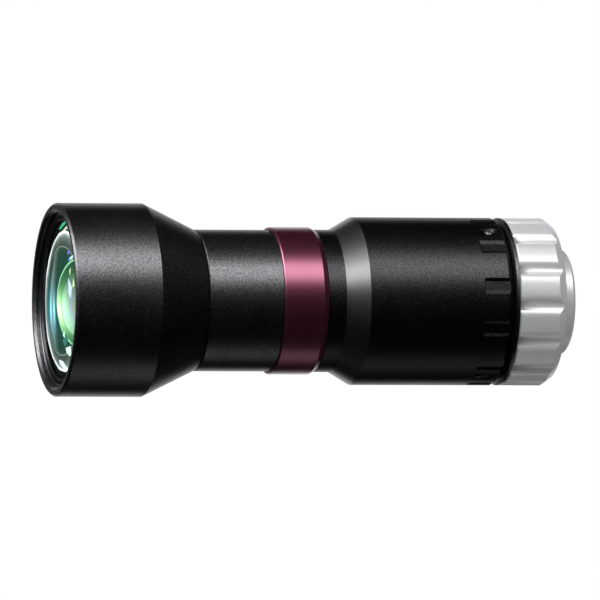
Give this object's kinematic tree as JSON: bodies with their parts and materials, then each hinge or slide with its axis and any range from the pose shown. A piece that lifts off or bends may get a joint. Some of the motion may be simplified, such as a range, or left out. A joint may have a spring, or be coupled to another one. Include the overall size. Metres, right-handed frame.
{
  "type": "bi-telecentric lens",
  "caption": "Machine-vision bi-telecentric lens with a wide tapered front barrel, a maroon accent ring, a flared rear barrel and a fluted camera mount that turns and is clamped by screws.",
  "frame": {"origin": "centre of the front rim, which the lens stands on", "axes": "+Z along the optical axis, from the front rim to the camera thread"},
  "size_m": [0.0468, 0.0466, 0.127],
  "materials": {
    "black_anodised": "fine bead-blasted black anodised aluminium, satin",
    "black_inner": "matt black anodised aluminium inside the lens",
    "maroon_anodised": "satin maroon anodised aluminium",
    "clear_anodised": "fine bead-blasted clear anodised aluminium",
    "screw_steel": "blackened alloy steel",
    "coated_glass": "polished glass with a green anti-reflection coating",
    "inner_glass": "polished glass with an anti-reflection coating"
  },
  "bodies": {
    "barrel": {"front_barrel": "black_anodised", "front_retaining_ring": "black_inner", "front_lens": "coated_glass", "front_spacer": "black_inner", "front_crown": "inner_glass", "front_flint": "inner_glass", "front_baffle": "black_inner", "mid_tube": "black_anodised", "accent_ring": "maroon_anodised", "neck_baffle": "black_inner", "rear_barrel": "black_anodised", "set_screws": "screw_steel", "rear_cell": "black_inner", "relay_retaining_ring": "black_inner", "relay_lens": "inner_glass", "relay_spacer": "black_inner", "stop_disc": "black_inner", "rear_flint": "inner_glass", "rear_crown": "inner_glass", "rear_spacer": "black_inner", "rear_lens": "inner_glass", "exit_spacer": "black_inner", "exit_lens": "coated_glass", "rear_retaining_ring": "black_inner"},
    "mount": {"mount_sleeve": "black_anodised", "camera_mount": "clear_anodised"}
  },
  "joints": [
    {"name": "mount_rotation", "type": "hinge", "parent": "barrel", "child": "mount", "pos_m": [0, 0, 0.1098], "axis": [0, 0, 1], "continuous": true}
  ]
}
